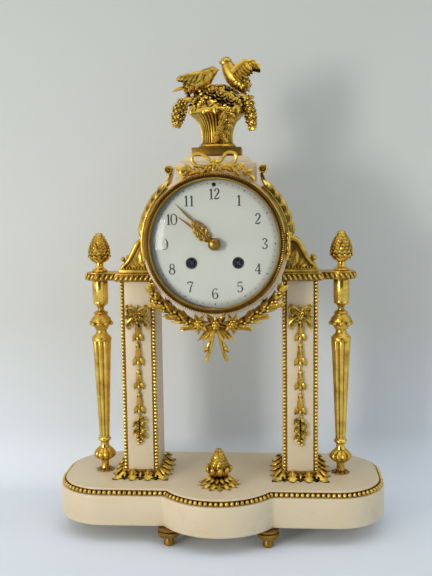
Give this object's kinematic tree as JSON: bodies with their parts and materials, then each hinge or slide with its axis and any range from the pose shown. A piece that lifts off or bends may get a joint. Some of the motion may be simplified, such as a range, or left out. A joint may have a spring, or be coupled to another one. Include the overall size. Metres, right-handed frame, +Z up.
{
  "type": "portico mantel clock",
  "caption": "Portico mantel clock: marble base, pillars and drum with gilt mounts, a glazed bezel door, turning hands, a striking movement and a short pendulum.",
  "frame": {"origin": "middle of the footprint, on the surface that the feet stand on", "axes": "+Z up, the dial faces -Y, +X to the right of someone who reads the dial"},
  "size_m": [0.27, 0.126, 0.3875],
  "materials": {
    "marble": "satin",
    "gilt_bronze": "polished",
    "movement_brass": "satin",
    "steel": "satin",
    "enamel": "gloss",
    "glass": "gloss",
    "bell_metal": "polished"
  },
  "bodies": {
    "case": {"base_plinth": "marble", "pillar_left": "marble", "pillar_right": "marble", "drum_case": "marble", "cap_block": "marble", "base_beading": "gilt_bronze", "foot_front_left": "gilt_bronze", "foot_front_right": "gilt_bronze", "foot_rear_left": "gilt_bronze", "foot_rear_right": "gilt_bronze", "pillar_outer_beading_left": "gilt_bronze", "pillar_outer_beading_right": "gilt_bronze", "pillar_inner_beading_left": "gilt_bronze", "pillar_inner_beading_right": "gilt_bronze", "pillar_frame_left": "gilt_bronze", "pillar_frame_right": "gilt_bronze", "pillar_drop_left": "gilt_bronze", "pillar_drop_right": "gilt_bronze", "cornice_left": "gilt_bronze", "cornice_right": "gilt_bronze", "column_left": "gilt_bronze", "column_right": "gilt_bronze", "column_finial_left": "gilt_bronze", "column_finial_right": "gilt_bronze", "base_pinecone": "gilt_bronze", "basket": "gilt_bronze", "bouquet": "gilt_bronze", "dove_left": "gilt_bronze", "dove_right": "gilt_bronze", "scroll_bracket_left": "gilt_bronze", "scroll_bracket_right": "gilt_bronze", "side_mount_left": "gilt_bronze", "side_mount_right": "gilt_bronze", "finial_plinth": "gilt_bronze", "ribbon_bow": "gilt_bronze", "laurel_swag": "gilt_bronze", "seat_ring": "movement_brass", "front_plate": "movement_brass", "back_plate": "movement_brass", "suspension": "movement_brass", "rear_ring": "movement_brass", "dial": "enamel", "bell": "bell_metal"},
    "bezel_door": {"bezel_ring": "gilt_bronze", "bezel_glass": "glass"},
    "hour_hand": {"hour_hand": "gilt_bronze"},
    "minute_hand": {"minute_hand": "gilt_bronze"},
    "going_barrel": {"going_barrel": "movement_brass"},
    "strike_barrel": {"strike_barrel": "movement_brass"},
    "going_winding_arbor": {"going_winding_arbor": "steel"},
    "strike_winding_arbor": {"strike_winding_arbor": "steel"},
    "second_wheel": {"second_wheel": "movement_brass"},
    "centre_wheel": {"centre_wheel": "movement_brass"},
    "third_wheel": {"third_wheel": "movement_brass"},
    "escape_wheel": {"escape_wheel": "movement_brass"},
    "anchor": {"anchor": "steel"},
    "pendulum": {"pendulum": "movement_brass"},
    "regulator_arbor": {"regulator_arbor": "steel"},
    "hammer": {"hammer": "steel"},
    "rear_door": {"rear_door": "movement_brass"}
  },
  "joints": [
    {"name": "bezel_door_open", "type": "hinge", "parent": "case", "child": "bezel_door", "pos_m": [0.0562, -0.0379, 0.23975], "axis": [0, 0, 1], "range_deg": [0, 110]},
    {"name": "rear_door_open", "type": "hinge", "parent": "case", "child": "rear_door", "pos_m": [0.0478, 0.0519, 0.23975], "axis": [0, 0, -1], "range_deg": [0, 100]},
    {"name": "minute_hand_turn", "type": "hinge", "parent": "case", "child": "minute_hand", "pos_m": [0, -0.0398, 0.23975], "axis": [0, 1, 0], "continuous": true},
    {"name": "hour_hand_turn", "type": "hinge", "parent": "case", "child": "hour_hand", "pos_m": [0, -0.0386, 0.23975], "axis": [0, 1, 0], "continuous": true},
    {"name": "escape_wheel_turn", "type": "hinge", "parent": "case", "child": "escape_wheel", "pos_m": [0, 0, 0.26054], "axis": [0, 1, 0], "continuous": true},
    {"name": "third_wheel_turn", "type": "hinge", "parent": "case", "child": "third_wheel", "pos_m": [-0.00945, 0, 0.25161], "axis": [0, 1, 0], "continuous": true},
    {"name": "centre_wheel_turn", "type": "hinge", "parent": "case", "child": "centre_wheel", "pos_m": [0, 0, 0.23975], "axis": [0, 1, 0], "continuous": true},
    {"name": "second_wheel_turn", "type": "hinge", "parent": "case", "child": "second_wheel", "pos_m": [0.01597, 0, 0.24497], "axis": [0, 1, 0], "continuous": true},
    {"name": "going_barrel_turn", "type": "hinge", "parent": "case", "child": "going_barrel", "pos_m": [0.018, 0, 0.22515], "axis": [0, 1, 0], "continuous": true},
    {"name": "strike_barrel_turn", "type": "hinge", "parent": "case", "child": "strike_barrel", "pos_m": [-0.018, 0, 0.22515], "axis": [0, 1, 0], "continuous": true},
    {"name": "going_winding", "type": "hinge", "parent": "case", "child": "going_winding_arbor", "pos_m": [0.018, 0, 0.22515], "axis": [0, 1, 0], "continuous": true},
    {"name": "strike_winding", "type": "hinge", "parent": "case", "child": "strike_winding_arbor", "pos_m": [-0.018, 0, 0.22515], "axis": [0, 1, 0], "continuous": true},
    {"name": "pendulum_swing", "type": "hinge", "parent": "case", "child": "pendulum", "pos_m": [0, 0.021, 0.27275], "axis": [0, 1, 0], "range_deg": [-4, 4]},
    {"name": "anchor_rock", "type": "hinge", "parent": "case", "child": "anchor", "pos_m": [0, 0, 0.27275], "axis": [0, 1, 0], "range_deg": [-4, 4]},
    {"name": "regulator_turn", "type": "hinge", "parent": "case", "child": "regulator_arbor", "pos_m": [0, 0, 0.28495], "axis": [0, 1, 0], "continuous": true},
    {"name": "hammer_lift", "type": "hinge", "parent": "case", "child": "hammer", "pos_m": [-0.024, 0.0294, 0.25975], "axis": [0, 1, 0], "range_deg": [0, 15]}
  ],
  "couplings": [
    {"joint": "hour_hand_turn", "follows": "minute_hand_turn", "ratio": 0.083333},
    {"joint": "third_wheel_turn", "follows": "escape_wheel_turn", "ratio": -0.083333},
    {"joint": "centre_wheel_turn", "follows": "escape_wheel_turn", "ratio": 0.0069444},
    {"joint": "second_wheel_turn", "follows": "escape_wheel_turn", "ratio": -0.0013889},
    {"joint": "going_barrel_turn", "follows": "escape_wheel_turn", "ratio": 0.00027778},
    {"joint": "anchor_rock", "follows": "pendulum_swing", "ratio": 1}
  ]
}
